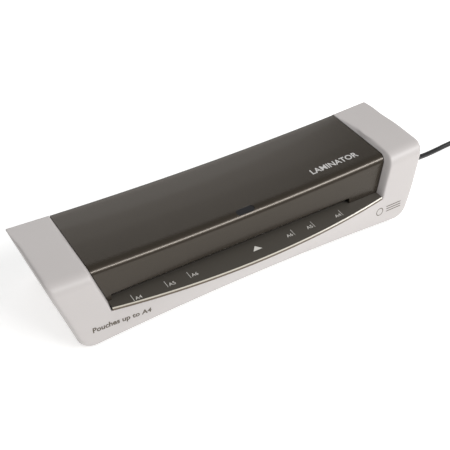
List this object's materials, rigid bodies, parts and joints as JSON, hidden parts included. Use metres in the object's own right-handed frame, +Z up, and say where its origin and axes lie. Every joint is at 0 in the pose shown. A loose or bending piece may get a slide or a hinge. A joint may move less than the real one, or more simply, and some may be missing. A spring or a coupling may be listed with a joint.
{
  "type": "pouch laminator",
  "caption": "Desktop pouch laminator with heated shoes, gear-driven silicone rollers, a release lever, a rear rocker switch and a mains cord.",
  "frame": {"origin": "centre of the machine's footprint, on the table", "axes": "+X along the machine to the cord's end, -Y to the entry side, +Z up"},
  "size_m": [0.5634, 0.1809, 0.0746],
  "materials": {
    "casing_white": "satin, very light texture",
    "casing_grey": "fine texture",
    "panel_dark": "satin",
    "window_smoke": "polished, smoke tinted",
    "guide_clear": "clear",
    "zinc_steel": "zinc plated",
    "ground_steel": "ground",
    "silicone_red": "smooth matt",
    "nylon_ivory": "moulded",
    "shoe_aluminium": "anodised",
    "heater_tape": "film wrapped",
    "black_plastic": "satin",
    "motor_steel": "zinc chromate",
    "spacer_brass": "turned",
    "board_green": "solder mask",
    "board_parts": "mixed",
    "wire_yellow": "insulation",
    "foot_rubber": "matt",
    "cord_pvc": "satin",
    "tie_white": "smooth",
    "pin_nickel": "plated"
  },
  "bodies": {
    "housing": {"upper_casing": "casing_white", "top_panel": "panel_dark", "entry_shelf": "panel_dark", "rear_cover": "panel_dark", "base_casing": "casing_grey", "rubber_feet": "foot_rubber", "casing_screws": "zinc_steel", "indicator_window": "window_smoke", "light_guide": "guide_clear", "indicator_board": "board_green", "left_side_plate": "zinc_steel", "right_side_plate": "zinc_steel", "tie_bars": "zinc_steel", "lower_bushes": "nylon_ivory", "pressure_springs": "ground_steel", "lower_hot_shoe": "shoe_aluminium", "upper_hot_shoe": "shoe_aluminium", "heater_elements": "heater_tape", "thermostat": "black_plastic", "thermal_fuse": "pin_nickel", "heat_shield": "zinc_steel", "upper_entry_guide": "black_plastic", "exit_guide": "black_plastic", "upper_exit_guide": "black_plastic", "gear_motor": "motor_steel", "motor_bracket": "zinc_steel", "motor_spacers": "spacer_brass", "motor_screws": "zinc_steel", "idler_pin": "ground_steel", "switch_body": "black_plastic", "circuit_board": "board_green", "board_components": "board_parts", "board_spacers": "nylon_ivory", "wiring": "wire_yellow", "strain_relief": "cord_pvc", "power_cord": "cord_pvc", "cord_coil": "cord_pvc", "cord_tail": "cord_pvc", "cord_tie": "tie_white", "plug_body": "cord_pvc", "plug_pins": "pin_nickel"},
    "lower_roller": {"lower_roller_shaft": "ground_steel", "lower_roller_sleeve": "silicone_red", "lower_roller_gear": "nylon_ivory", "lower_roller_clips": "zinc_steel"},
    "carriage": {"bearing_blocks": "nylon_ivory"},
    "upper_roller": {"upper_roller_shaft": "ground_steel", "upper_roller_sleeve": "silicone_red", "upper_roller_gear": "nylon_ivory", "upper_roller_clips": "zinc_steel"},
    "pinion": {"drive_pinion": "nylon_ivory"},
    "idler": {"idler_gear": "nylon_ivory"},
    "release": {"release_shaft": "ground_steel", "release_lever": "black_plastic"},
    "rocker": {"switch_rocker": "black_plastic"}
  },
  "joints": [
    {"name": "lower_roller_spin", "type": "hinge", "parent": "housing", "child": "lower_roller", "pos_m": [0, 0.012, 0.028], "axis": [1, 0, 0], "continuous": true},
    {"name": "idler_spin", "type": "hinge", "parent": "housing", "child": "idler", "pos_m": [0.1225, -0.00463, 0.02111], "axis": [1, 0, 0], "continuous": true},
    {"name": "pinion_spin", "type": "hinge", "parent": "housing", "child": "pinion", "pos_m": [0.1225, -0.009, 0.0365], "axis": [1, 0, 0], "continuous": true},
    {"name": "release_turn", "type": "hinge", "parent": "housing", "child": "release", "pos_m": [0, 0.03, 0.05], "axis": [1, 0, 0], "range_deg": [0, 36]},
    {"name": "carriage_lift", "type": "slide", "parent": "housing", "child": "carriage", "axis": [0, 0, 1], "range_m": [0, 0.0012], "deforming": ["pressure_springs"]},
    {"name": "upper_roller_spin", "type": "hinge", "parent": "carriage", "child": "upper_roller", "pos_m": [0, 0.012, 0.047], "axis": [1, 0, 0], "continuous": true},
    {"name": "rocker_tip", "type": "hinge", "parent": "housing", "child": "rocker", "pos_m": [0.164, 0.05479, 0.0437], "axis": [0, -0.303, 0.953], "range_deg": [0, 14]}
  ],
  "couplings": [
    {"joint": "upper_roller_spin", "follows": "lower_roller_spin", "ratio": -1},
    {"joint": "idler_spin", "follows": "lower_roller_spin", "ratio": -1.1176},
    {"joint": "pinion_spin", "follows": "lower_roller_spin", "ratio": 1.2667},
    {"joint": "release_turn", "follows": "carriage_lift", "rad_per_m": 523.59}
  ]
}
